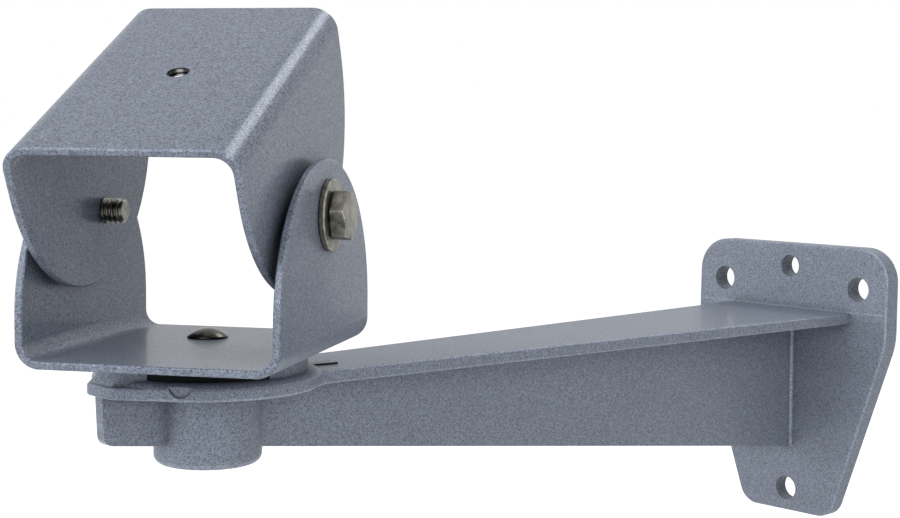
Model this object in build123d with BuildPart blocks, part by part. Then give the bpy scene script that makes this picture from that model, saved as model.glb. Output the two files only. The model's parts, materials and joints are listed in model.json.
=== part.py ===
# Wall bracket for a security camera: a cast arm with a T section on a bolted wall plate,
# and a pan and tilt head made of two folded sheet yokes at its free end.
# Millimetres. The wall is the plane y = 0 and the arm runs out along -Y. +Z is up.
# z = 0 is the flat top of the arm and x = 0 is its plane of symmetry.

from math import cos, radians, sin, tan
import os

from build123d import *

os.makedirs("parts", exist_ok=True)

# wall plate
plate_t = 6.8
plate_half = 40.1
plate_top = 22.8
plate_waist_z = -10.0
plate_foot_half = 18.5
plate_foot_z = -73.6
plate_top_r = 11.5
plate_waist_r = 26.0
plate_foot_r = 7.5
plate_edge_r = 0.9
parting_z = -1.0
draft_deg = 1.0
side_hole_pitch = 57.15
side_hole_z = 8.5
wall_hole_d = 8.4
middle_hole_z = 14.8
middle_hole_d = 7.6
foot_hole_z = -65.5

# arm
reach = 257.0
flange_t = 3.65
flange_root_half = 25.95
flange_tip_half = 13.2
flange_tip_y = 28.8
flange_edge_r = 0.8
neck_r = 15.7
web_t = 3.2
web_front = 32.2
web_front_lean = 0.6
web_nose_depth = 14.3
web_root_depth = 49.9
web_corner_r = 2.8
web_root_r = 1.2

# round end of the arm
rim_r = 29.2
rim_low = -2.4
rim_top = 0.65
rim_low_r = 1.2
rim_top_r = 0.8
shoulder_r = 26.2
shoulder_top = 2.0
land_r = 14.5
land_top = 7.9
land_edge = 0.8
nose_root_half = 14.0
nose_root_y = 25.0
nose_tip_half = 5.3
nose_tip_y = 32.4
nose_corner_r = 3.3
nose_edge_r = 0.6
notch_deg = -48.0
notch_width = 5.5
notch_depth = 2.0
notch_start_r = 28.4

# raised parts under the yoke: a half disc behind the pan axis and a rib out to the nose
raised_r = 25.7
raised_top = 7.4
raised_front = 0.5
rib_half = 8.9
rib_bend_y = 24.1
rib_tip_half = 4.2
rib_tip_y = 31.4
rib_top_y = 25.5

# friction pads, one in each quarter that the raised parts leave open
pad_gap = 0.1
pad_below_yoke = 0.3

# index groove on the flange
groove_start = 31.0
groove_end = 40.4
groove_w = 0.6
groove_depth = 0.5

# boss under the round end, with the sunk seat of the pan nut
boss_r = 13.9
boss_low = -22.4
boss_edge_r = 2.5
nut_well_d = 20.0
nut_seat_z = -8.4

# pan bolt and its fasteners, quarter inch with 20 threads to the inch
bolt_d = 6.35
turn_clear = 0.075
seat_clear = 0.03
washer_bore = 7.1
pan_head_d = 10.4
pan_head_h = 2.5
neck_square = 6.35
neck_clear = 0.05
neck_h = 1.6
pan_washer_d = 16.0
pan_washer_t = 1.6
lock_washer_d = 12.4
lock_washer_t = 1.6
lock_washer_gap = 1.0
nut_flats = 11.1
nut_h = 5.6
bolt_proud = 1.5
end_chamfer = 0.7

# lower yoke
pan_deg = 34.6
sheet_t = 1.9
sheet_edge = 0.35
lower_w = 64.2
lower_d = 74.2
lower_bend_r = 4.0
lower_arc_z = 11.3
tilt_z = 34.8
lower_shift_u = 4.25
lower_shift_v = -14.5

# upper yoke
tilt_deg = 25.4
ear_gap = 2.5
upper_d = 81.3
upper_top = 37.4
upper_bend_r = 4.2
upper_arc_z = 25.0
camera_thread_d = 6.35
camera_thread_depth = 0.575

# tilt bolts
tilt_washer_d = 17.5
tilt_washer_t = 1.6
hex_flats = 11.1
hex_h = 3.8
hex_face_d = 10.2
hex_face_t = 0.4
crown_deg = 30.0
washer_edge = 0.2
stub_len = 6.9
spacer_d = 14.0

# sizes that follow from the ones above
pan_y = -reach
bolt_r = bolt_d / 2
turn_r = bolt_r + turn_clear
tap_r = bolt_r + seat_clear
upper_w = lower_w - 2 * sheet_t - 2 * ear_gap
web_slope = (web_root_depth - web_nose_depth) / (reach - plate_t + web_front)
pan_bolt_end = nut_seat_z - pan_washer_t - lock_washer_t - nut_h - bolt_proud
floor_top = land_top + sheet_t

# frames of the two yokes: x runs from ear to ear, y runs back, z runs up
u_dir = Vector(cos(radians(pan_deg)), sin(radians(pan_deg)), 0)
v_dir = Vector(-sin(radians(pan_deg)), cos(radians(pan_deg)), 0)
pan_point = Vector(0, pan_y, land_top)
lower_centre = pan_point + u_dir * lower_shift_u + v_dir * lower_shift_v
pan_frame = Plane(origin=pan_point, x_dir=u_dir, z_dir=(0, 0, 1))
lower_frame = Plane(origin=lower_centre, x_dir=u_dir, z_dir=(0, 0, 1))
tilt_point = lower_centre + Vector(0, 0, tilt_z)
tilt_up = Vector(0, 0, 1) * cos(radians(tilt_deg)) - v_dir * sin(radians(tilt_deg))
tilt_frame = Plane(origin=tilt_point, x_dir=u_dir, z_dir=tilt_up)


# plane that faces out of the front of a yoke, seen with its x to the right
def front_of(frame):
    return Plane(origin=frame.origin, x_dir=frame.x_dir, z_dir=-frame.y_dir)


# plane that faces out of the right ear of a yoke, seen with its y to the right
def side_of(frame):
    return Plane(origin=frame.origin, x_dir=frame.y_dir, z_dir=frame.x_dir)


# sheet folded to a U: the flat middle lies on the frame's xy plane and both ears rise
# along z to a half circle as wide as the sheet is deep
def folded_sheet(frame, width, depth, bend_r, arc_z):
    ear_z = arc_z + depth / 2
    with BuildPart() as sheet:
        with BuildSketch(front_of(frame)):
            with BuildLine() as outside:
                Polyline((-width / 2, ear_z), (-width / 2, 0), (width / 2, 0), (width / 2, ear_z))
                fillet(outside.vertices().group_by(Axis.Y)[0], bend_r + sheet_t)
                offset(amount=sheet_t, side=Side.LEFT)
            make_face()
        extrude(amount=depth / 2, both=True)
        with BuildSketch(side_of(frame)):
            with BuildLine():
                Polyline((-depth / 2, arc_z), (-depth / 2, 0), (depth / 2, 0), (depth / 2, arc_z))
                ThreePointArc((depth / 2, arc_z), (0, ear_z), (-depth / 2, arc_z))
            make_face()
        extrude(amount=width / 2, both=True, mode=Mode.INTERSECT)
        # break the edges of the rim, but not the lines where the bends start
        seams = sheet.edges().filter_by(Axis(origin=frame.origin, direction=frame.y_dir))
        rim = (sheet.edges() - seams).filter_by(lambda e: e.length > sheet_t + 0.01)
        chamfer(rim, sheet_edge)
    return sheet.part


# flat washer whose underside lies on the plane
def flat_washer(plane, outer_d, bore_d, thickness):
    with BuildPart() as washer:
        with BuildSketch(plane):
            Circle(outer_d / 2)
            Circle(bore_d / 2, mode=Mode.SUBTRACT)
        extrude(amount=thickness)
        chamfer(washer.edges().filter_by(GeomType.CIRCLE).filter_by(lambda e: e.radius > bore_d / 2 + 0.01), washer_edge)
    return washer


# hexagon standing on the plane, its corners turned off at the far face
def hexagon(plane, flats, height):
    wide = flats * 0.7
    crown = (wide - flats / 2) * tan(radians(crown_deg))
    with BuildPart() as six_sided:
        with BuildSketch(plane):
            RegularPolygon(radius=flats / 2, side_count=6, major_radius=False)
        extrude(amount=height)
        with BuildSketch(front_of(plane)):
            with BuildLine():
                Polyline((0, 0), (wide, 0), (wide, height - crown), (flats / 2, height), (0, height), close=True)
            make_face()
        revolve(axis=Axis(plane.origin, plane.z_dir), mode=Mode.INTERSECT)
    return six_sided.part


# blunt nose at the front of the round end, its root inside the rim
with BuildPart() as nose:
    with BuildSketch(Plane.XY.offset(rim_low)) as nose_outline:
        with BuildLine():
            Polyline(
                (-nose_root_half, pan_y - nose_root_y),
                (-nose_tip_half, pan_y - nose_tip_y),
                (nose_tip_half, pan_y - nose_tip_y),
                (nose_root_half, pan_y - nose_root_y),
                close=True,
            )
        make_face()
        fillet(nose_outline.vertices().group_by(Axis.Y)[0], nose_corner_r)
    extrude(amount=rim_top - rim_low)
    nose_rim = nose.edges().filter_by(lambda e: e.center().Y < pan_y - nose_root_y - 0.01)
    fillet(nose_rim - nose.edges().filter_by(Axis.Z), nose_edge_r)

# rib from the land out to the nose, with a sloping front
with BuildPart() as rib:
    with BuildSketch(Plane.YZ):
        with BuildLine():
            Polyline(
                (pan_y, 0),
                (pan_y - rib_tip_y, 0),
                (pan_y - rib_tip_y, rim_top),
                (pan_y - rib_top_y, raised_top),
                (pan_y, raised_top),
                close=True,
            )
        make_face()
    extrude(amount=rib_half, both=True)
    with BuildSketch(Plane.XY):
        with BuildLine():
            Polyline(
                (-rib_half, pan_y),
                (-rib_half, pan_y - rib_bend_y),
                (-rib_tip_half, pan_y - rib_tip_y),
                (rib_tip_half, pan_y - rib_tip_y),
                (rib_half, pan_y - rib_bend_y),
                (rib_half, pan_y),
                close=True,
            )
        make_face()
    extrude(amount=raised_top, mode=Mode.INTERSECT)

# arm of the casting: tapered flange, web, round end and boss
with BuildPart() as arm:
    # tapered flange with its necks into the round end
    taper = (flange_root_half - flange_tip_half) / (reach - plate_t - flange_tip_y)
    axis_half = flange_tip_half - taper * flange_tip_y
    neck_circle_r = rim_r - rim_low_r - 0.2
    with BuildSketch(Plane.XY.offset(-flange_t)) as flange_outline:
        with BuildLine():
            Polyline(
                (-axis_half, pan_y),
                (axis_half, pan_y),
                (flange_root_half, -plate_t),
                (flange_root_half, -plate_t / 2),
                (-flange_root_half, -plate_t / 2),
                (-flange_root_half, -plate_t),
                close=True,
            )
        make_face()
        with Locations((0, pan_y)):
            Circle(neck_circle_r)
        necks = flange_outline.vertices().filter_by(lambda v: pan_y + 1 < v.Y < pan_y + 2 * rim_r)
        fillet(necks, neck_r)
    extrude(amount=flange_t)
    long_edges = arm.edges().filter_by(lambda e: abs(e.center().Z + flange_t / 2) > 0.1)
    fillet(long_edges.filter_by(lambda e: e.center().Y < -plate_t), flange_edge_r)

    # the round end is thinner than the flange that runs in under it
    with BuildSketch(Plane.XY.offset(-flange_t)):
        with Locations((0, pan_y)):
            Circle(neck_circle_r)
        with BuildLine():
            Polyline(
                (-axis_half, pan_y),
                (axis_half, pan_y),
                (axis_half + taper * 2 * rim_r, pan_y + 2 * rim_r),
                (-axis_half - taper * 2 * rim_r, pan_y + 2 * rim_r),
                close=True,
            )
        make_face(mode=Mode.SUBTRACT)
    extrude(amount=flange_t, mode=Mode.SUBTRACT)

    # rim, shoulder, land and boss turned about the pan axis
    turned = Plane(origin=(0, pan_y, 0), x_dir=(1, 0, 0), z_dir=(0, -1, 0))
    with BuildSketch(turned) as end_profile:
        with BuildLine():
            Polyline((shoulder_r, shoulder_top), (land_r, shoulder_top), (land_r, land_top), (0, land_top),
                     (0, boss_low), (boss_r, boss_low), (boss_r, rim_low), (rim_r, rim_low), (rim_r, rim_top))
            TangentArc((shoulder_r, shoulder_top), (rim_r, rim_top), tangent=(1, 0))
        make_face()
        chamfer(end_profile.vertices().sort_by_distance((land_r, land_top, 0))[0], land_edge)
        for corner, corner_r in (
            ((boss_r, boss_low), boss_edge_r),
            ((rim_r, rim_low), rim_low_r),
            ((rim_r, rim_top), rim_top_r),
        ):
            fillet(end_profile.vertices().sort_by_distance((corner[0], corner[1], 0))[0], corner_r)
    revolve(axis=Axis((0, pan_y, 0), (0, 0, 1)))

    # raised half disc behind the pan axis
    with BuildSketch(Plane.XY):
        with Locations((0, pan_y)):
            Circle(raised_r)
        with Locations((0, pan_y + raised_front)):
            Rectangle(2 * rim_r, 2 * rim_r, align=(Align.CENTER, Align.MAX), mode=Mode.SUBTRACT)
    extrude(amount=raised_top)
    add(nose.part)
    add(rib.part)

    # web under the flange, deeper towards the wall
    web_face_y = -plate_t / 2
    with BuildSketch(Plane.YZ) as web_outline:
        with BuildLine():
            Polyline(
                (pan_y - web_front, -flange_t / 2),
                (pan_y - web_front + web_front_lean, -web_nose_depth),
                (web_face_y, -web_root_depth - web_slope * (plate_t / 2)),
                (web_face_y, -flange_t / 2),
                close=True,
            )
        make_face()
        low_corner = (pan_y - web_front + web_front_lean, -web_nose_depth, 0)
        fillet(web_outline.vertices().sort_by_distance(low_corner)[0], web_corner_r)
    extrude(amount=web_t / 2, both=True)

# wall plate with the arm joined to its front, and the holes of the whole casting
with BuildPart() as wall_arm:
    plate_rise = (plate_top - parting_z) * tan(radians(draft_deg))
    plate_fall = (parting_z - plate_foot_z) * tan(radians(draft_deg))
    with BuildSketch(Plane.YZ):
        with BuildLine():
            Polyline(
                (0, plate_top),
                (0, plate_foot_z),
                (plate_fall - plate_t, plate_foot_z),
                (-plate_t, parting_z),
                (plate_rise - plate_t, plate_top),
                close=True,
            )
        make_face()
    extrude(amount=plate_half, both=True)
    with BuildSketch(Plane.XZ) as plate_outline:
        with BuildLine():
            Polyline(
                (plate_half, plate_top),
                (plate_half, plate_waist_z),
                (plate_foot_half, plate_foot_z),
                (-plate_foot_half, plate_foot_z),
                (-plate_half, plate_waist_z),
                (-plate_half, plate_top),
                close=True,
            )
        make_face()
        for corner_z, corner_r in (
            (plate_top, plate_top_r),
            (plate_waist_z, plate_waist_r),
            (plate_foot_z, plate_foot_r),
        ):
            fillet(plate_outline.vertices().filter_by(lambda v: abs(v.Y - corner_z) < 0.001), corner_r)
    extrude(amount=plate_t, mode=Mode.INTERSECT)
    crease = wall_arm.edges().filter_by(Axis.X).filter_by(lambda e: abs(e.center().Z - parting_z) < 0.01)
    front_edges = wall_arm.edges().filter_by(lambda e: e.center().Y < -plate_t / 2) - wall_arm.edges().filter_by(Axis.Y)
    fillet(front_edges - crease, plate_edge_r)
    add(arm.part)

    # roots of the web at the plate and under the flange
    web_sides = wall_arm.edges().filter_by(lambda e: abs(abs(e.center().X) - web_t / 2) < 0.01)
    plate_roots = web_sides.filter_by(lambda e: -plate_t < e.center().Y < -plate_t / 2)
    flange_roots = web_sides.filter_by(lambda e: abs(e.center().Z + flange_t) < 0.01)
    fillet(plate_roots + flange_roots, web_root_r)

    # wall holes
    with BuildSketch(Plane.XZ):
        with Locations((-side_hole_pitch / 2, side_hole_z), (side_hole_pitch / 2, side_hole_z), (0, foot_hole_z)):
            Circle(wall_hole_d / 2)
        with Locations((0, middle_hole_z)):
            Circle(middle_hole_d / 2)
    extrude(amount=plate_t, mode=Mode.SUBTRACT)

    # running hole of the pan bolt and the sunk seat of its nut
    with BuildSketch(Plane.XY.offset(boss_low)):
        with Locations((0, pan_y)):
            Circle(turn_r)
    extrude(amount=land_top - boss_low, mode=Mode.SUBTRACT)
    with BuildSketch(Plane.XY.offset(boss_low)):
        with Locations((0, pan_y)):
            Circle(nut_well_d / 2)
    extrude(amount=nut_seat_z - boss_low, mode=Mode.SUBTRACT)

    # notch in the rim
    notch_r = (notch_width ** 2 / 4 + notch_depth ** 2) / (2 * notch_depth)
    notch_dir = Vector(cos(radians(notch_deg)), sin(radians(notch_deg)), 0)
    notch_axis = Vector(0, pan_y, rim_top - notch_depth + notch_r) + notch_dir * notch_start_r
    with BuildSketch(Plane(origin=notch_axis, z_dir=notch_dir)):
        Circle(notch_r)
    extrude(amount=rim_r, mode=Mode.SUBTRACT)

    # index groove on the flange
    with BuildSketch(Plane.XY):
        with Locations((0, pan_y + (groove_start + groove_end) / 2)):
            Rectangle(groove_w, groove_end - groove_start)
    extrude(amount=-groove_depth, mode=Mode.SUBTRACT)
wall_arm.part.label = "wall_arm"
export_step(wall_arm.part, "parts/wall_arm.step")

# friction pads between the casting and the yoke
for side, hand in ((1, "right"), (-1, "left")):
    with BuildPart() as friction_pad:
        with BuildSketch(Plane.XY.offset(shoulder_top)):
            with Locations((0, pan_y)):
                Circle(raised_r - pad_gap)
                Circle(land_r + pad_gap, mode=Mode.SUBTRACT)
            with Locations((side * (rib_half + pad_gap + rim_r / 2), pan_y + raised_front - pad_gap - rim_r / 2)):
                Rectangle(rim_r, rim_r, mode=Mode.INTERSECT)
        extrude(amount=land_top - pad_below_yoke - shoulder_top)
    friction_pad.part.label = "friction_pad_" + hand
    export_step(friction_pad.part, "parts/friction_pad_" + hand + ".step")

# lower yoke: square hole for the pan bolt and running holes for the tilt bolts
lower_sheet = folded_sheet(lower_frame, lower_w, lower_d, lower_bend_r, lower_arc_z)
with BuildPart() as lower_yoke:
    add(lower_sheet)
    with BuildSketch(pan_frame):
        Rectangle(neck_square + 2 * neck_clear, neck_square + 2 * neck_clear)
    extrude(amount=sheet_t, mode=Mode.SUBTRACT)
    with BuildSketch(side_of(lower_frame)):
        with Locations((0, tilt_z)):
            Circle(turn_r)
    extrude(amount=lower_w / 2, both=True, mode=Mode.SUBTRACT)
lower_yoke.part.label = "lower_yoke"
export_step(lower_yoke.part, "parts/lower_yoke.step")

# upper yoke: hangs its ears between those of the lower yoke and carries the camera
upper_frame = Plane(origin=tilt_point + tilt_up * upper_top, x_dir=u_dir, z_dir=-tilt_up)
upper_sheet = folded_sheet(upper_frame, upper_w, upper_d, upper_bend_r, upper_top - upper_arc_z)
with BuildPart() as upper_yoke:
    add(upper_sheet)
    with BuildSketch(upper_frame):
        Circle(camera_thread_d / 2 - camera_thread_depth)
    extrude(amount=sheet_t, mode=Mode.SUBTRACT)
    with BuildSketch(side_of(tilt_frame)):
        Circle(tap_r)
    extrude(amount=upper_w / 2, both=True, mode=Mode.SUBTRACT)
upper_yoke.part.label = "upper_yoke"
export_step(upper_yoke.part, "parts/upper_yoke.step")

# pan bolt: low round head on the floor of the yoke and a square neck in its hole
with BuildPart() as pan_bolt:
    head_edge = 0.5
    turned = Plane(origin=(0, pan_y, floor_top), x_dir=u_dir, z_dir=-v_dir)
    with BuildSketch(turned):
        with BuildLine():
            Polyline((0, pan_head_h), (0, 0), (pan_head_d / 2, 0), (pan_head_d / 2, head_edge))
            TangentArc((0, pan_head_h), (pan_head_d / 2, head_edge), tangent=(1, 0))
        make_face()
    revolve(axis=Axis((0, pan_y, 0), (0, 0, 1)))
    with BuildSketch(Plane(origin=(0, pan_y, floor_top), x_dir=u_dir, z_dir=(0, 0, -1))):
        Rectangle(neck_square, neck_square)
    extrude(amount=neck_h)
    with BuildSketch(Plane(origin=(0, pan_y, floor_top), x_dir=u_dir, z_dir=(0, 0, -1))):
        Circle(bolt_r)
    extrude(amount=floor_top - pan_bolt_end)
    chamfer(pan_bolt.edges().group_by(Axis.Z)[0], end_chamfer)
pan_bolt.part.label = "pan_bolt"
export_step(pan_bolt.part, "parts/pan_bolt.step")

# washers and nut sunk in the boss
pan_washer_plane = Plane((0, pan_y, nut_seat_z - pan_washer_t))
pan_washer = flat_washer(pan_washer_plane, pan_washer_d, washer_bore, pan_washer_t)
pan_washer.part.label = "pan_washer"
export_step(pan_washer.part, "parts/pan_washer.step")

lock_plane = pan_washer_plane.offset(-lock_washer_t)
lock_ring = flat_washer(lock_plane, lock_washer_d, washer_bore, lock_washer_t)
with BuildPart() as pan_lock_washer:
    add(lock_ring.part)
    with BuildSketch(lock_plane):
        with Locations((lock_washer_d / 2, 0)):
            Rectangle(lock_washer_d, lock_washer_gap)
    extrude(amount=lock_washer_t, mode=Mode.SUBTRACT)
pan_lock_washer.part.label = "pan_lock_washer"
export_step(pan_lock_washer.part, "parts/pan_lock_washer.step")

nut_plane = Plane(origin=lock_plane.origin, x_dir=u_dir, z_dir=(0, 0, -1))
nut_hexagon = hexagon(nut_plane, nut_flats, nut_h)
with BuildPart() as pan_nut:
    add(nut_hexagon)
    with BuildSketch(nut_plane):
        Circle(tap_r)
    extrude(amount=nut_h, mode=Mode.SUBTRACT)
pan_nut.part.label = "pan_nut"
export_step(pan_nut.part, "parts/pan_nut.step")

# tilt bolts with their washers outside and spacers between the ears, right then left
for side, hand in ((1, "right"), (-1, "left")):
    ear_face = tilt_point + u_dir * side * (lower_w / 2)
    outward = Plane(origin=ear_face, x_dir=v_dir, z_dir=u_dir * side)
    seat = outward.offset(tilt_washer_t)
    tilt_washer = flat_washer(outward, tilt_washer_d, washer_bore, tilt_washer_t)
    tilt_washer.part.label = "tilt_washer_" + hand
    export_step(tilt_washer.part, "parts/tilt_washer_" + hand + ".step")

    tilt_spacer = flat_washer(outward.offset(-sheet_t - ear_gap), spacer_d, washer_bore, ear_gap)
    tilt_spacer.part.label = "tilt_spacer_" + hand
    export_step(tilt_spacer.part, "parts/tilt_spacer_" + hand + ".step")

    head_hexagon = hexagon(seat.offset(hex_face_t), hex_flats, hex_h)
    with BuildPart() as tilt_bolt:
        add(head_hexagon)
        with BuildSketch(seat):
            Circle(hex_face_d / 2)
        extrude(amount=hex_face_t)
        with BuildSketch(seat):
            Circle(bolt_r)
        extrude(amount=-(tilt_washer_t + 2 * sheet_t + ear_gap + stub_len))
        chamfer(tilt_bolt.edges().filter_by(GeomType.CIRCLE).sort_by(Axis(seat.origin, seat.z_dir))[0], end_chamfer)
    tilt_bolt.part.label = "tilt_bolt_" + hand
    export_step(tilt_bolt.part, "parts/tilt_bolt_" + hand + ".step")
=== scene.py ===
import json
from math import ceil, cos, pi, radians, sin

import bmesh
import bpy
from mathutils import Matrix, Vector


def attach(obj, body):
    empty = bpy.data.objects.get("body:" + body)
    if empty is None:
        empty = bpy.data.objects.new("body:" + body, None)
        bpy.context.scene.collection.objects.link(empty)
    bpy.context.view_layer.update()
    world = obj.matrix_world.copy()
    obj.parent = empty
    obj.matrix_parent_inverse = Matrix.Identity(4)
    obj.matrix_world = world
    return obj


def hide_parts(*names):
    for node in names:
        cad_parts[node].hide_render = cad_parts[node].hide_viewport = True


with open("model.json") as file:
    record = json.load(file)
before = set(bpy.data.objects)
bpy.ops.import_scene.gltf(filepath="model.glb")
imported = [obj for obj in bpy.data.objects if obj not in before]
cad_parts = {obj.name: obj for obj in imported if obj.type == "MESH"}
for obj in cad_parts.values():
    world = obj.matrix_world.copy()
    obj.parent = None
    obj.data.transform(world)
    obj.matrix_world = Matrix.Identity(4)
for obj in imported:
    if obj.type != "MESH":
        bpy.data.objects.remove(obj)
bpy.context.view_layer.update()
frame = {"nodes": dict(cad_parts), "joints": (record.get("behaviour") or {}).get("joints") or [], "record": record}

nodes = frame["nodes"]
record = frame["record"]
mounts = {mount["name"]: mount for mount in record["mounts"]}
hinges = {joint["name"]: joint for joint in frame["joints"]}
slotOf = {part["node"]: part["material_slot"] for part in record["subparts"]}
scene = bpy.context.scene
mm = 0.001
print("frame loaded:", len(nodes), "nodes")


class Sock:  # an output socket that can stand in sums
    def __init__(self, tree, out):
        self.tree, self.out = tree, out

    def math(self, operation, first, second=None):
        node = self.tree.nodes.new("ShaderNodeMath")
        node.operation = operation
        for place, value in enumerate((first, second)):
            if isinstance(value, Sock):
                self.tree.links.new(value.out, node.inputs[place])
            elif value is not None:
                node.inputs[place].default_value = value
        return Sock(self.tree, node.outputs[0])

    def __add__(self, other): return self.math("ADD", self, other)
    def __radd__(self, other): return self.math("ADD", other, self)
    def __sub__(self, other): return self.math("SUBTRACT", self, other)
    def __rsub__(self, other): return self.math("SUBTRACT", other, self)
    def __mul__(self, other): return self.math("MULTIPLY", self, other)
    def __rmul__(self, other): return self.math("MULTIPLY", other, self)
    def __abs__(self): return self.math("ABSOLUTE", self)


class Shader:
    def __init__(self, owner, last="OutputMaterial"):  # owner is a material or a world
        owner.use_nodes = True
        self.owner, self.tree = owner, owner.node_tree
        self.tree.nodes.clear()
        self.output = self.tree.nodes.new("ShaderNode" + last)

    def add(self, kind, settings=None, out=0, **inputs):  # any node: settings first, then values and links
        node = self.tree.nodes.new("ShaderNode" + kind)
        for key, value in (settings or {}).items():
            setattr(node, key, value)
        for key, value in inputs.items():
            numbered = key[0] == "i" and key[1:].isdigit()
            socket = node.inputs[int(key[1:]) if numbered else key.replace("_", " ")]
            if isinstance(value, Sock):
                self.tree.links.new(value.out, socket)
            else:
                socket.default_value = value
        return Sock(self.tree, node.outputs[out])

    def ramp(self, value, low, high):  # 0 at low, 1 at high, held outside
        return self.add("MapRange", {"interpolation_type": "SMOOTHSTEP"}, Value=value, From_Min=low, From_Max=high)

    def band(self, value, low, full, stillFull, high):  # 1 from full to stillFull, 0 outside low and high
        return self.ramp(value, low, full) * (1 - self.ramp(value, stillFull, high))

    def blend(self, factor, first, second):  # two colours
        return self.add("Mix", {"data_type": "RGBA"}, out=2, i0=factor, i6=first, i7=second)

    def tint(self, colour, value):  # a colour made lighter or darker by a value
        return self.add("VectorMath", {"operation": "SCALE"}, i0=colour, Scale=value)

    def seen(self):  # 1 for camera, gloss and glass rays, 0 for the rays that light the object
        camera, gloss, glass = (self.add("LightPath", out="Is " + ray + " Ray")
                                for ray in ("Camera", "Glossy", "Transmission"))
        either = self.add("Math", {"operation": "MAXIMUM"}, i0=camera, i1=gloss)
        return self.add("Math", {"operation": "MAXIMUM"}, i0=either, i1=glass)

    def finish(self, surface):
        self.tree.links.new(surface.out, self.output.inputs["Surface"])
        return self.owner


# camera at the photograph's viewing angle
view = {
    "place": (0.35825, -0.50693, 0.06687),  # metres, in the bracket's own frame
    "turn": 46.95,  # degrees round from the straight look at the wall
    "down": 4.81,
    "roll": 0.53,
    "focal": 1700.0,  # pixels at the picture's width
    "width": 900,
    "sensor": 36,  # millimetres
    "clip": (0.01, 100),
}
turn, down, roll = (radians(view[angle]) for angle in ("turn", "down", "roll"))
ahead = Vector((-sin(turn) * cos(down), cos(turn) * cos(down), -sin(down)))
across = Vector((cos(turn), sin(turn), 0))
upward = across.cross(ahead)
across, upward = cos(roll) * across + sin(roll) * upward, cos(roll) * upward - sin(roll) * across
camera = bpy.data.objects.new("camera", bpy.data.cameras.new("camera"))
camera.data.sensor_width = view["sensor"]
camera.data.lens = view["focal"] / view["width"] * view["sensor"]
camera.data.clip_start, camera.data.clip_end = view["clip"]
camera.matrix_world = Matrix.Translation(view["place"]) @ Matrix((across, upward, -ahead)).transposed().to_4x4()
scene.collection.objects.link(camera)
scene.camera = camera
print("camera placed")

# studio light: an even dome and soft lamps
studio = {
    "aim": (0, -0.2, 0.02),
    "worldLevel": 0.29,
    "paperLevel": 1.0,  # what the camera, gloss and glass see round the object
}
lamps = {
    "highKey": {"place": (-0.2, -1.5, 1.5), "size": 0.9, "watts": 11.5},
    "lowKey": {"place": (0.5, -1.8, 0.6), "size": 0.9, "watts": 7.5},
    "rightFill": {"place": (1.8, -0.6, 0.7), "size": 0.9, "watts": 9.8},
    "leftLow": {"place": (-1.1, -1.5, 0.4), "size": 0.9, "watts": 6.5},
    "backRim": {"place": (-0.15, 1.0, 1.5), "size": 0.62, "watts": 7.5},
}
scene.view_settings.view_transform = "Standard"


def domeWorld(spec):
    white = (1, 1, 1, 1)
    s = Shader(bpy.data.worlds.new("studio"), "OutputWorld")
    dome = s.add("Background", Color=white, Strength=spec["worldLevel"])
    paper = s.add("Background", Color=white, Strength=spec["paperLevel"])
    return s.finish(s.add("MixShader", i0=s.seen(), i1=dome, i2=paper))


def softLamp(name, spec):
    lamp = bpy.data.lights.new(name, "AREA")
    lamp.size = spec["size"]
    lamp.energy = spec["watts"]
    hung = bpy.data.objects.new(name, lamp)
    aim = (Vector(studio["aim"]) - Vector(spec["place"])).to_track_quat("-Z", "Y")
    hung.matrix_world = Matrix.Translation(spec["place"]) @ aim.to_matrix().to_4x4()
    scene.collection.objects.link(hung)


scene.world = domeWorld(studio)
for lampName, lampSpec in lamps.items():
    softLamp(lampName, lampSpec)
print("light set")

# grey paint: a fine flake with a thin clear coat, on the cast arm and on the folded sheet
paint = {
    "colour": (0.172, 0.195, 0.240),
    "metal": 0.22,  # share of aluminium flake
    "rough": 0.45,
    "roughDrift": 0.10,
    "shine": 0.05,  # specular level under the clear coat
    "coat": 0.21,
    "coatRough": 0.05,
    "coatSpeckle": 0.9,
    "flakes": 3000.0,  # per metre
    "flakeDepth": 1.1,
    "grain": 2300.0,
    "grainDetail": 3.0,
    "grainRough": 0.65,
    "grainDepth": 0.8,
    "clouds": 38.0,
    "cloudDetail": 4.0,
    "cloudDepth": 0.12,
    "highlightBreaks": 900.0,
    "highlightBreakDetail": 2.0,
    "highlightBreakRange": (0.46, 0.64),  # of the noise, from a whole painted edge highlight to a broken one
    "highlightBreakShare": 0.8,
    "highlightLineRange": (0.25, 0.50),  # of the noise, from a broken painted highlight line to a whole one
    "bump": 0.10,
    "bumpDepth": 0.0002,
    "edgeRadius": 0.00022,
    # edges are painted lighter as a highlight
    "paintedEdgeHighlight": 0.9,
    # crevices are painted darker as shade
    "creviceReach": 0.0036,
    "paintedCreviceShade": 0.55,
}
armPaintSpec = dict(paint, colour=(0.212, 0.239, 0.292), coat=0.08, flakes=3500.0, flakeDepth=1.0,
                    grain=2800.0, grainDepth=0.7)
yokePaintSpec = dict(paint, colour=(0.187, 0.214, 0.267), rough=0.38, coat=0.20, coatRough=0.12, paintedEdgeHighlight=1.7)
# near black: painted shadow line along the rib on the flange
ribShadowPaintSpec = dict(armPaintSpec, colour=(0.03, 0.034, 0.042), coat=0.02, paintedEdgeHighlight=0.0)
edgeSearch = {"samples": 6, "range": (0.01, 0.09)}  # range is of how far a rounded normal turns away


def edgeAndCreviceShade(s, spec):  # rounded normal, how much of an edge a point is, and how deep in a crevice it is for the painted shade there
    samples = {"samples": edgeSearch["samples"]}
    rounded = s.add("Bevel", samples, Radius=spec["edgeRadius"])
    plain = s.add("NewGeometry", out="Normal")
    same = s.add("VectorMath", {"operation": "DOT_PRODUCT"}, out="Value", i0=rounded, i1=plain)
    openness = s.add("AmbientOcclusion", samples, out="AO", Distance=spec["creviceReach"])
    return rounded, s.ramp(1 - same, *edgeSearch["range"]), 1 - openness


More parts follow.
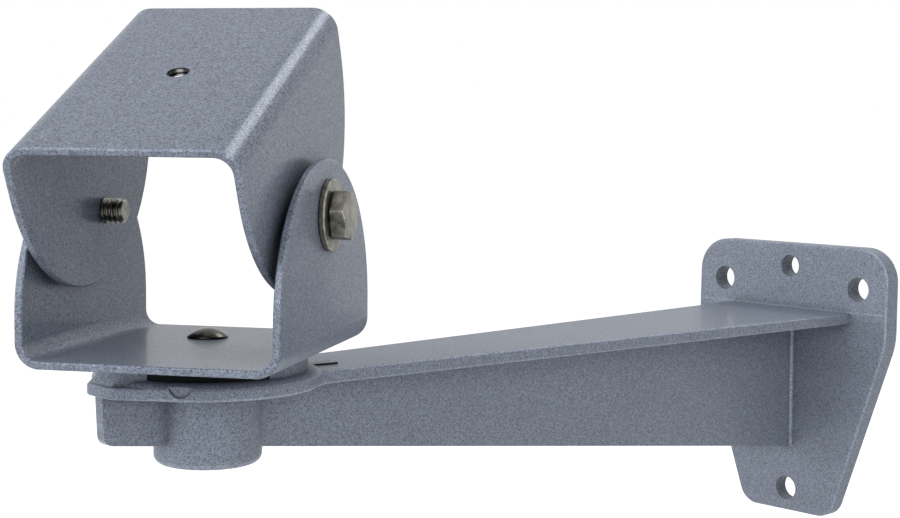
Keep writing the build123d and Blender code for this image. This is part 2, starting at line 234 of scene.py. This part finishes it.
def paintShader(name, spec, lines=None, bareSpot=None):
    s = Shader(bpy.data.materials.new(name))
    where = s.add("TexCoord", out="Object")
    flake = s.add("TexVoronoi", out="Color", Vector=where, Scale=spec["flakes"]) - 0.5  # -0.5 to 0.5
    grain = s.add("TexNoise", Vector=where, Scale=spec["grain"], Detail=spec["grainDetail"],
                  Roughness=spec["grainRough"])
    cloud = s.add("TexNoise", Vector=where, Scale=spec["clouds"], Detail=spec["cloudDetail"]) - 0.5
    highlightBreaks = s.add("TexNoise", Vector=where, Scale=spec["highlightBreaks"], Detail=spec["highlightBreakDetail"])
    rounded, edge, creviceShade = edgeAndCreviceShade(s, spec)
    # painted highlight: edges lighter, broken up by noise
    edgeHighlight = edge * (s.ramp(highlightBreaks, *spec["highlightBreakRange"]) * spec["highlightBreakShare"] + (1 - spec["highlightBreakShare"]))
    speckle = flake * spec["flakeDepth"] + (grain - 0.5) * spec["grainDepth"]
    tone = (1 + speckle + cloud * spec["cloudDepth"]) * (1 + edgeHighlight * spec["paintedEdgeHighlight"])
    # painted shade: darker in crevices
    tone = tone * (1 - creviceShade * spec["paintedCreviceShade"])
    if lines:
        tone = tone * (1 + lines(s, where) * s.ramp(highlightBreaks, *spec["highlightLineRange"]))
    base = s.tint(spec["colour"], tone)
    rough = spec["rough"] + cloud * spec["roughDrift"] + flake * spec["roughDrift"]
    coat, metal = spec["coat"] * (1 + speckle * spec["coatSpeckle"]), spec["metal"]
    if bareSpot:
        bare, threadLightAndShade = bareSpot(s, where)
        base = s.blend(bare, base, threadLightAndShade)
        rough = rough * (1 - bare) + bare * cameraHole["rough"]
        coat = (1 - bare) * coat
        metal = bare * (1 - metal) + metal
    normal = s.add("Bump", Strength=spec["bump"], Distance=spec["bumpDepth"], Height=grain, Normal=rounded)
    return s.finish(s.add("BsdfPrincipled", Base_Color=base, Metallic=metal, Roughness=rough, Normal=normal,
                          Specular_IOR_Level=spec["shine"], Coat_Weight=coat, Coat_Roughness=spec["coatRough"]))


# painted highlights along the casting's rounds, roots and parting-line crease, and painted shade inside its holes
castLightAndShade = {
    "front": -0.0125,  # the plate's lines stand between here and the wall
    "frontSoft": 0.0005,
    # strength of the painted highlight on the rounds and the parting line
    "bright": 0.34,
    "plateRoundHighlight": (0.15, 0.45, 0.80, 0.97),  # how squarely the plate's rim and the root face the wall
    "armRoundHighlight": (0.25, 0.50, 0.85, 0.97),  # how squarely the rounds of flange and round end face up
    "partingHeight": 0.0004,  # level with the top of the flange
    "partingHalf": 0.00035,
    "partingFace": (0.90, 0.98),
    # painted shade inside the wall holes
    "holeShade": 0.34,
    "holeEdge": 0.0002,
}
sideHoles = mounts["wall_side_holes"]
wallHoles = [  # x, z and radius in metres
    (side * sideHoles["dims"]["spacing_x_mm"] / 2 * mm, sideHoles["pos_m"][2], sideHoles["dims"]["hole_r_mm"] * mm)
    for side in (-1, 1)
] + [
    (0, mounts[hole]["pos_m"][2], mounts[hole]["dims"]["r_mm"] * mm)
    for hole in ("wall_foot_hole", "wall_middle_hole")
]


def castLightAndShadeMask(s, where):  # above 0 on the painted highlight lines, below 0 for the painted shade inside the holes
    x, y, z = (s.add("SeparateXYZ", out=side, i0=where) for side in range(3))
    facing = s.add("NewGeometry", out="Normal")
    toWall, toSky = (abs(s.add("SeparateXYZ", out=side, i0=facing)) for side in (1, 2))
    onPlate = s.ramp(y, castLightAndShade["front"], castLightAndShade["front"] + castLightAndShade["frontSoft"])
    plateRoundHighlight = s.band(toWall, *castLightAndShade["plateRoundHighlight"]) * onPlate
    armRoundHighlight = s.band(toSky, *castLightAndShade["armRoundHighlight"]) * (1 - onPlate)
    offLine = abs(z - castLightAndShade["partingHeight"])
    partingHighlight = (1 - s.ramp(offLine, castLightAndShade["partingHalf"] / 2, castLightAndShade["partingHalf"])) * onPlate
    partingHighlight = partingHighlight * s.ramp(toWall, *castLightAndShade["partingFace"])
    # how far into the painted shade of a hole a point is
    inside = 0
    for holeX, holeZ, radius in wallHoles:
        squared = (x - holeX) * (x - holeX) + (z - holeZ) * (z - holeZ)
        off = s.add("Math", {"operation": "SQRT"}, i0=squared)
        inside = inside + (1 - s.ramp(off, radius, radius + castLightAndShade["holeEdge"]))
    return (plateRoundHighlight + armRoundHighlight + partingHighlight) * castLightAndShade["bright"] - inside * onPlate * castLightAndShade["holeShade"]


# bare metal in the camera hole, its thread painted as light crest rings and dark root rings: painted highlight and
# shade
cameraHole = {
    "place": Vector(mounts["camera_screw_hole"]["pos_m"]),
    "axis": Vector(mounts["camera_screw_hole"]["axis"]),
    "reach": 0.0029,  # how far round the axis the metal is bare
    "reachSoft": 0.0002,
    "depth": (0.002, 0.003),  # how far along the axis, each way
    "pitch": 0.00127,  # 20 to the inch
    "rough": 0.3,
    # root and crest: painted shade and painted highlight of the thread
    "root": (0.015, 0.015, 0.018, 1),
    "crest": (0.42, 0.41, 0.4, 1),
}


def tappedHole(s, where):  # how bare the metal is, and the painted highlight and shade rings of its thread
    off = s.add("VectorMath", {"operation": "SUBTRACT"}, i0=where, i1=cameraHole["place"])
    along = s.add("VectorMath", {"operation": "DOT_PRODUCT"}, out="Value", i0=off, i1=cameraHole["axis"])
    foot = s.add("VectorMath", {"operation": "SCALE"}, i0=cameraHole["axis"], Scale=along)
    aside = s.add("VectorMath", {"operation": "SUBTRACT"}, i0=off, i1=foot)
    distance = s.add("VectorMath", {"operation": "LENGTH"}, out="Value", i0=aside)
    bare = 1 - s.ramp(distance, cameraHole["reach"] - cameraHole["reachSoft"], cameraHole["reach"])
    bare = bare * (1 - s.ramp(abs(along), *cameraHole["depth"]))
    wave = s.add("Math", {"operation": "SINE"}, i0=along * (2 * pi / cameraHole["pitch"]))
    return bare, s.blend(wave * 0.5 + 0.5, cameraHole["root"], cameraHole["crest"])


# plated steel of the bolts and washers
steel = {
    "colour": (0.20, 0.195, 0.165),
    "rough": 0.36,
    "roughDrift": 0.3,
    "blotches": 420.0,  # per metre
    "blotchDetail": 5.0,
    "blotchRough": 0.6,
    "blotchRange": (0.36, 0.66),
    "blotchDepth": 0.75,
    "scratches": 2200.0,
    "scratchDetail": 2.0,
    "scratchDepth": 0.6,
    "scratchBump": 0.3,
    "darkest": 0.35,
    "bump": 0.2,
    "bumpDepth": 0.0001,
    "edgeRadius": 0.0004,
    "paintedEdgeHighlight": 1.4,
    # crevices are painted darker as shade
    "creviceReach": 0.0016,
    "paintedCreviceShade": 0.92,
}
darkSteelSpec = dict(steel, colour=(0.045, 0.045, 0.038), rough=0.24)


def steelShader(name, spec):
    s = Shader(bpy.data.materials.new(name))
    where = s.add("TexCoord", out="Object")
    blotch = s.add("TexNoise", Vector=where, Scale=spec["blotches"], Detail=spec["blotchDetail"],
                   Roughness=spec["blotchRough"])
    scratch = s.add("TexNoise", Vector=where, Scale=spec["scratches"], Detail=spec["scratchDetail"])
    rounded, edge, creviceShade = edgeAndCreviceShade(s, spec)
    mottle = s.ramp(blotch, *spec["blotchRange"]) * spec["blotchDepth"] + scratch * spec["scratchDepth"]
    # painted highlight: edges lighter where the scratch noise is high
    tone = (mottle + spec["darkest"]) * (1 + edge * scratch * spec["paintedEdgeHighlight"])
    # painted shade: darker in crevices
    tone = tone * (1 - creviceShade * spec["paintedCreviceShade"])
    normal = s.add("Bump", Strength=spec["bump"], Distance=spec["bumpDepth"], Normal=rounded,
                   Height=blotch + scratch * spec["scratchBump"])
    return s.finish(s.add("BsdfPrincipled", Base_Color=s.tint(spec["colour"], tone), Metallic=1.0, Normal=normal,
                          Roughness=spec["rough"] + (blotch - 0.5) * spec["roughDrift"]))


# black rubber of the friction pads, whose near black also stands in for the deep shade in the gap under the lower
# yoke
rubber = {
    "colour": (0.006, 0.006, 0.007),
    "rough": 0.85,
    "roughDrift": 0.2,
    "shine": 0.2,
    "specks": 1500.0,  # per metre
    "speckDetail": 3.0,
    "speckDepth": 0.8,
    "darkest": 0.6,
    "bump": 0.3,
    "bumpDepth": 0.0001,
}


def rubberAndShadeShader(name, spec):
    s = Shader(bpy.data.materials.new(name))
    where = s.add("TexCoord", out="Object")
    speck = s.add("TexNoise", Vector=where, Scale=spec["specks"], Detail=spec["speckDetail"])
    normal = s.add("Bump", Strength=spec["bump"], Distance=spec["bumpDepth"], Height=speck)
    tone = spec["darkest"] + speck * spec["speckDepth"]
    return s.finish(s.add("BsdfPrincipled", Base_Color=s.tint(spec["colour"], tone), Normal=normal,
                          Roughness=spec["rough"] + (speck - 0.5) * spec["roughDrift"],
                          Specular_IOR_Level=spec["shine"]))


finishes = {
    "arm_paint": paintShader("armPaint", armPaintSpec, lines=castLightAndShadeMask),
    "yoke_paint": paintShader("yokePaint", yokePaintSpec, bareSpot=tappedHole),
    "bright_steel": steelShader("brightSteel", steel),
    "dark_steel": steelShader("darkSteel", darkSteelSpec),
    "pad_rubber": rubberAndShadeShader("padRubberAndShade", rubber),
    "mark": paintShader("ribShadowPaint", ribShadowPaintSpec),
}
for nodeName, node in nodes.items():
    node.data.materials.clear()
    node.data.materials.append(finishes[slotOf[nodeName]])
print("finishes given")


def placedPiece(name, shape, finish, body):  # a new piece from a bmesh, riding on its body
    mesh = bpy.data.meshes.new(name)
    shape.to_mesh(mesh)
    shape.free()
    piece = bpy.data.objects.new(name, mesh)
    mesh.materials.append(finishes[finish])
    scene.collection.objects.link(piece)
    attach(piece, body)
    return piece


# bolts with real threads
thread = {
    "pitch": 0.00127,  # 20 to the inch
    "major": 0.003175,
    "depth": 0.00065,
    "foot": 0.12,  # where the flank starts and ends, in shares of the pitch
    "top": 0.44,
    "steps": 40,  # per turn
    "lead": 0.0007,  # cone at the tip
    "overlap": 0.0001,  # of the plain shank with the thread
    "flatAbove": 28,  # degrees between faces that shade as an edge
    "weld": 1e-6,
    "cut": 1e-7,
}
tiltCentre = Vector(hinges["tilt"]["pos_m"])
tiltAxis = Vector(hinges["tilt"]["axis"])
earInside = 0.0266  # from the middle of the head into the sheet of the upper ears
bolts = {  # axis points to the tip, and the thread starts at start along it from the centre
    "tilt_bolt_left": {"body": "tilt_head", "centre": tiltCentre, "axis": tiltAxis, "start": -earInside,
                       "turned": 20, "shorter": 0.0014},
    "tilt_bolt_right": {"body": "tilt_head", "centre": tiltCentre, "axis": -tiltAxis, "start": -earInside,
                        "turned": 11, "shorter": 0.0014},
    "pan_bolt": {"body": "pan_head", "centre": Vector(hinges["pan"]["pos_m"]), "axis": Vector((0, 0, -1)),
                 "start": 0.0165, "turned": 0, "shorter": 0},
}


def cutAndCap(shape, place, facing):  # drops what is past the plane and closes the hole
    ends = bmesh.ops.bisect_plane(shape, geom=shape.verts[:] + shape.edges[:] + shape.faces[:], dist=thread["cut"],
                                  plane_co=place, plane_no=facing, clear_outer=True)
    rim = [part for part in ends["geom_cut"] if isinstance(part, bmesh.types.BMEdge)]
    bmesh.ops.contextual_create(shape, geom=rim)


def threadedShank(start, axis, length):  # closed screw thread from start along axis
    pitch, crest, root = thread["pitch"], thread["major"], thread["major"] - thread["depth"]
    foot, top, steps = thread["foot"], thread["top"], thread["steps"]
    outline = [(root, 0), (root, foot), (crest, top), (crest, 1 - top), (root, 1 - foot), (root, 1)]
    screw = bmesh.new()
    chain = [screw.verts.new((radius, 0, (share - 1) * pitch)) for radius, share in outline]
    edges = [screw.edges.new(pair) for pair in zip(chain, chain[1:])]
    turns = ceil(length / pitch) + 2
    bmesh.ops.spin(screw, geom=chain + edges, cent=(0, 0, 0), axis=(0, 0, 1), dvec=(0, 0, pitch / steps),
                   angle=2 * pi * turns, steps=turns * steps, use_merge=False, use_duplicate=False)
    bmesh.ops.remove_doubles(screw, verts=screw.verts, dist=thread["weld"])
    cutAndCap(screw, (0, 0, 0), (0, 0, -1))
    cutAndCap(screw, (0, 0, length), (0, 0, 1))
    lead = length - thread["lead"]
    bmesh.ops.bisect_plane(screw, geom=screw.verts[:] + screw.edges[:] + screw.faces[:], dist=thread["cut"],
                           plane_co=(0, 0, lead), plane_no=(0, 0, 1))
    for point in screw.verts:  # the tip is turned down to a cone
        allowed = crest - max(0, point.co.z - lead)
        radius = point.co.xy.length
        if radius > allowed:
            point.co.xy *= allowed / radius
    bmesh.ops.recalc_face_normals(screw, faces=screw.faces)
    place = Matrix.Translation(start) @ axis.to_track_quat("Z", "Y").to_matrix().to_4x4()
    bmesh.ops.transform(screw, matrix=place, verts=screw.verts)
    return screw


def threadedBolt(nodeName, spec):  # head and neck of the solid, with a thread up to its tip
    solid = nodes[nodeName].data
    centre, axis, start = spec["centre"], spec["axis"], spec["start"]
    reach = max((corner.co - centre).dot(axis) for corner in solid.vertices) - spec["shorter"]
    bolt = bmesh.new()
    bolt.from_mesh(solid)
    bmesh.ops.remove_doubles(bolt, verts=bolt.verts, dist=thread["weld"])
    cutAndCap(bolt, centre + axis * (start + thread["overlap"]), axis)
    bmesh.ops.rotate(bolt, verts=bolt.verts, cent=centre, matrix=Matrix.Rotation(radians(spec["turned"]), 3, axis))
    screw = threadedShank(centre + axis * start, axis, reach - start)
    for shape in (bolt, screw):
        for edge in shape.edges:
            edge.smooth = len(edge.link_faces) == 2 and edge.calc_face_angle(0) < radians(thread["flatAbove"])
        for face in shape.faces:
            face.smooth = True
    joined = bpy.data.meshes.new("thread")
    screw.to_mesh(joined)
    screw.free()
    bolt.from_mesh(joined)
    bpy.data.meshes.remove(joined)
    slot = slotOf[nodeName]
    piece = placedPiece(nodeName + "_threaded", bolt, slot, spec["body"])
    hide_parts(nodeName)


for nodeName, spec in bolts.items():
    threadedBolt(nodeName, spec)
print("bolts threaded")

# raised rib on the flange, by the round end, painted near black as the shadow line along it
shadowRib = {
    "start": (0.0044, -0.2279),  # x and y of its ends
    "end": (0.0057, -0.2187),
    "width": 0.0005,
    "height": 0.00055,
    "sunk": 0.0003,
    "edge": 0.00012,
    "edgeSteps": 2,
}


def castShadowRib(spec):
    start, end = (Vector((*spec[key], 0)) for key in ("start", "end"))
    tall = spec["height"] + spec["sunk"]
    mark = bmesh.new()
    bmesh.ops.create_cube(mark, size=1)
    bmesh.ops.scale(mark, verts=mark.verts, vec=((end - start).length, spec["width"], tall))
    bmesh.ops.bevel(mark, geom=mark.edges[:], affect="EDGES", offset=spec["edge"], segments=spec["edgeSteps"],
                    profile=0.5, material=-1)
    turned = (end - start).normalized().to_track_quat("X", "Z").to_matrix().to_4x4()
    middle = (start + end) / 2 + Vector((0, 0, spec["height"] - tall / 2))
    bmesh.ops.transform(mark, matrix=Matrix.Translation(middle) @ turned, verts=mark.verts)
    placedPiece("shadow_rib", mark, "mark", "arm")


castShadowRib(shadowRib)
print("index mark cast")

# white floor, with a glow that only the camera, gloss and glass see
ground = {
    "height": -0.35,
    "half": 40.0,
    "colour": 0.8,
    "glowNear": 0.58,
    "glowFar": 0.82,
    "glowRange": (0.5, 1.5),  # metres from the wall mount
}


def whiteFloor(spec):
    sheet = bmesh.new()
    bmesh.ops.create_grid(sheet, x_segments=1, y_segments=1, size=spec["half"],
                          matrix=Matrix.Translation((0, 0, spec["height"])))
    mesh = bpy.data.meshes.new("floor")
    sheet.to_mesh(mesh)
    sheet.free()
    s = Shader(bpy.data.materials.new("floorWhite"))
    away = s.add("VectorMath", {"operation": "LENGTH"}, out="Value", i0=s.add("TexCoord", out="Object"))
    glow = spec["glowNear"] + s.ramp(away, *spec["glowRange"]) * (spec["glowFar"] - spec["glowNear"])
    lit = s.add("BsdfDiffuse", Color=[spec["colour"]] * 3 + [1])
    seen = s.add("Emission", Color=s.tint((1, 1, 1), s.seen() * glow))
    mesh.materials.append(s.finish(s.add("AddShader", i0=lit, i1=seen)))
    floor = bpy.data.objects.new("floor", mesh)
    scene.collection.objects.link(floor)
    return floor


floor = whiteFloor(ground)
print("stage set")
